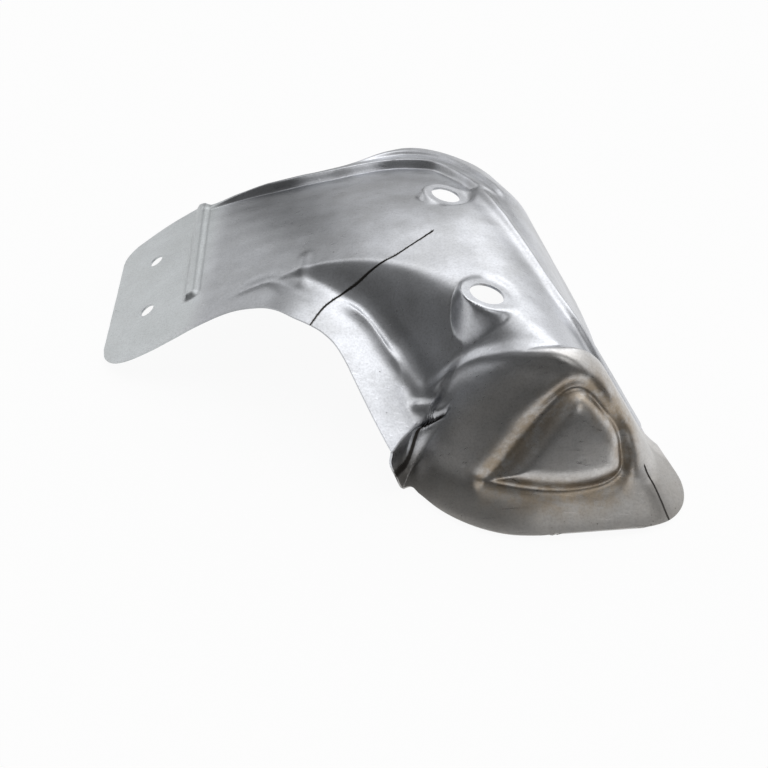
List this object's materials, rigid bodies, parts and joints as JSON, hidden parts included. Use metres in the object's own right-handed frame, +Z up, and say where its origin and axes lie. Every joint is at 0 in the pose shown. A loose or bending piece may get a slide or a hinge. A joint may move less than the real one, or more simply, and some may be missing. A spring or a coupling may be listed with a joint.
{
  "type": "exhaust heat shield",
  "caption": "Pressed sheet-steel exhaust heat shield with a flat bolt tab, an arched channel with bolt bosses, an inner flange and a closed nose.",
  "frame": {"origin": "centre of the footprint, on the ground", "axes": "+X from the bolt tab to the channel, +Y from the nose to the open end, +Z up"},
  "size_m": [0.2678, 0.2284, 0.0696],
  "materials": {
    "sheet": "bare coated steel sheet, satin, with a brownish heat tint at the nose"
  },
  "bodies": {
    "root": {"heat_shield": "sheet"}
  },
  "joints": []
}
